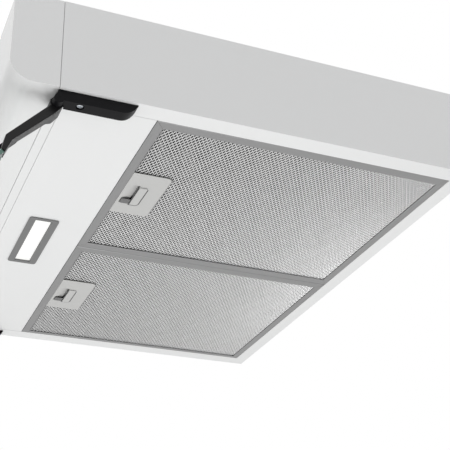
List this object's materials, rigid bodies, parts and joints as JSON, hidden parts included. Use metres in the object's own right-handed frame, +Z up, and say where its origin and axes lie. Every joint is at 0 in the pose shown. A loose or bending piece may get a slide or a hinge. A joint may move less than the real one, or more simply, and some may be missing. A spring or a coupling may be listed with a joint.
{
  "type": "under cabinet range hood",
  "caption": "Slim white range hood fixed under a cabinet, with aluminium grease filters, a lamp, a swing-down glass visor and a round outlet on top.",
  "frame": {"origin": "middle of the housing's top face, which is fixed against the cabinet", "axes": "+Z up out of the top face, +X to the right as seen from the front, -Y towards the cook"},
  "size_m": [0.6, 0.5316, 0.2542],
  "materials": {
    "white_steel": "semi-gloss powder coat",
    "gloss_white": "high gloss",
    "black_plastic": "satin moulded",
    "dark_plastic": "matt moulded",
    "grey_plastic": "satin moulded",
    "pale_plastic": "satin moulded",
    "ivory_plastic": "matt moulded",
    "aluminium": "satin",
    "zinc_steel": "zinc plated",
    "board": "solder mask",
    "lamp_window": "opal",
    "visor_glass": "clear, green edge"
  },
  "bodies": {
    "hood": {"housing": "white_steel", "front_panel": "gloss_white", "button_bezel": "grey_plastic", "control_board": "board", "lamp_panel": "white_steel", "lamp_bezel": "grey_plastic", "lamp_diffuser": "lamp_window", "lamp_tray": "ivory_plastic", "lamp_board": "board", "hinge_bracket_right": "black_plastic", "hinge_bracket_left": "black_plastic", "bracket_screw_right": "zinc_steel", "bracket_screw_left": "zinc_steel", "blower_scroll": "dark_plastic", "inlet_guard": "zinc_steel", "motor": "zinc_steel", "motor_bracket": "zinc_steel", "outlet_collar": "black_plastic", "damper_pin": "zinc_steel", "collar_screw_1": "zinc_steel", "collar_screw_2": "zinc_steel", "collar_screw_3": "zinc_steel", "collar_screw_4": "zinc_steel", "capacitor": "ivory_plastic", "power_supply": "ivory_plastic", "supply_cover": "ivory_plastic", "terminal_block": "ivory_plastic", "cable_gland": "black_plastic"},
    "visor": {"visor_arm_right": "black_plastic", "visor_arm_left": "black_plastic", "visor_clamp_right": "black_plastic", "visor_clamp_left": "black_plastic", "visor_glass": "visor_glass", "pivot_pin_right": "zinc_steel", "pivot_pin_left": "zinc_steel"},
    "wheel": {"impeller": "dark_plastic", "motor_shaft": "zinc_steel"},
    "flap_front": {"damper_flap_front": "dark_plastic"},
    "flap_rear": {"damper_flap_rear": "dark_plastic"},
    "filter_right": {"filter_frame_right": "aluminium", "filter_mesh_right": "aluminium", "filter_backing_right": "aluminium", "latch_plate_right": "pale_plastic", "latch_spring_right": "zinc_steel"},
    "latch_right": {"latch_slider_right": "pale_plastic"},
    "filter_left": {"filter_frame_left": "aluminium", "filter_mesh_left": "aluminium", "filter_backing_left": "aluminium", "latch_plate_left": "pale_plastic", "latch_spring_left": "zinc_steel"},
    "latch_left": {"latch_slider_left": "pale_plastic"},
    "button_light": {"button_light": "pale_plastic"},
    "button_off": {"button_off": "pale_plastic"},
    "button_low": {"button_low": "pale_plastic"},
    "button_medium": {"button_medium": "pale_plastic"},
    "button_high": {"button_high": "pale_plastic"}
  },
  "joints": [
    {"name": "visor_swing", "type": "hinge", "parent": "hood", "child": "visor", "pos_m": [0, -0.1945, -0.105], "axis": [1, 0, 0], "range_deg": [-46, 22]},
    {"name": "wheel_spin", "type": "hinge", "parent": "hood", "child": "wheel", "pos_m": [-0.064, 0.004, -0.05], "axis": [0, 0, 1], "continuous": true},
    {"name": "flap_front_lift", "type": "hinge", "parent": "hood", "child": "flap_front", "pos_m": [0, 0.144, 0.016], "axis": [-1, 0, 0], "range_deg": [0, 75]},
    {"name": "flap_rear_lift", "type": "hinge", "parent": "hood", "child": "flap_rear", "pos_m": [0, 0.144, 0.016], "axis": [1, 0, 0], "range_deg": [0, 75]},
    {"name": "filter_right_swing", "type": "hinge", "parent": "hood", "child": "filter_right", "pos_m": [0, 0.22475, -0.096], "axis": [1, 0, 0], "range_deg": [0, 70]},
    {"name": "latch_right_slide", "type": "slide", "parent": "filter_right", "child": "latch_right", "axis": [0, 1, 0], "range_m": [0, 0.004], "stiffness_N_per_m": 600, "springref_m": -0.001, "deforming": ["latch_spring_right"]},
    {"name": "filter_left_swing", "type": "hinge", "parent": "hood", "child": "filter_left", "pos_m": [0, 0.22475, -0.096], "axis": [1, 0, 0], "range_deg": [0, 70]},
    {"name": "latch_left_slide", "type": "slide", "parent": "filter_left", "child": "latch_left", "axis": [0, 1, 0], "range_m": [0, 0.004], "stiffness_N_per_m": 600, "springref_m": -0.001, "deforming": ["latch_spring_left"]},
    {"name": "button_light_press", "type": "slide", "parent": "hood", "child": "button_light", "axis": [0, 1, 0], "range_m": [0, 0.0015], "stiffness_N_per_m": 500},
    {"name": "button_off_press", "type": "slide", "parent": "hood", "child": "button_off", "axis": [0, 1, 0], "range_m": [0, 0.0015], "stiffness_N_per_m": 500},
    {"name": "button_low_press", "type": "slide", "parent": "hood", "child": "button_low", "axis": [0, 1, 0], "range_m": [0, 0.0015], "stiffness_N_per_m": 500},
    {"name": "button_medium_press", "type": "slide", "parent": "hood", "child": "button_medium", "axis": [0, 1, 0], "range_m": [0, 0.0015], "stiffness_N_per_m": 500},
    {"name": "button_high_press", "type": "slide", "parent": "hood", "child": "button_high", "axis": [0, 1, 0], "range_m": [0, 0.0015], "stiffness_N_per_m": 500}
  ]
}
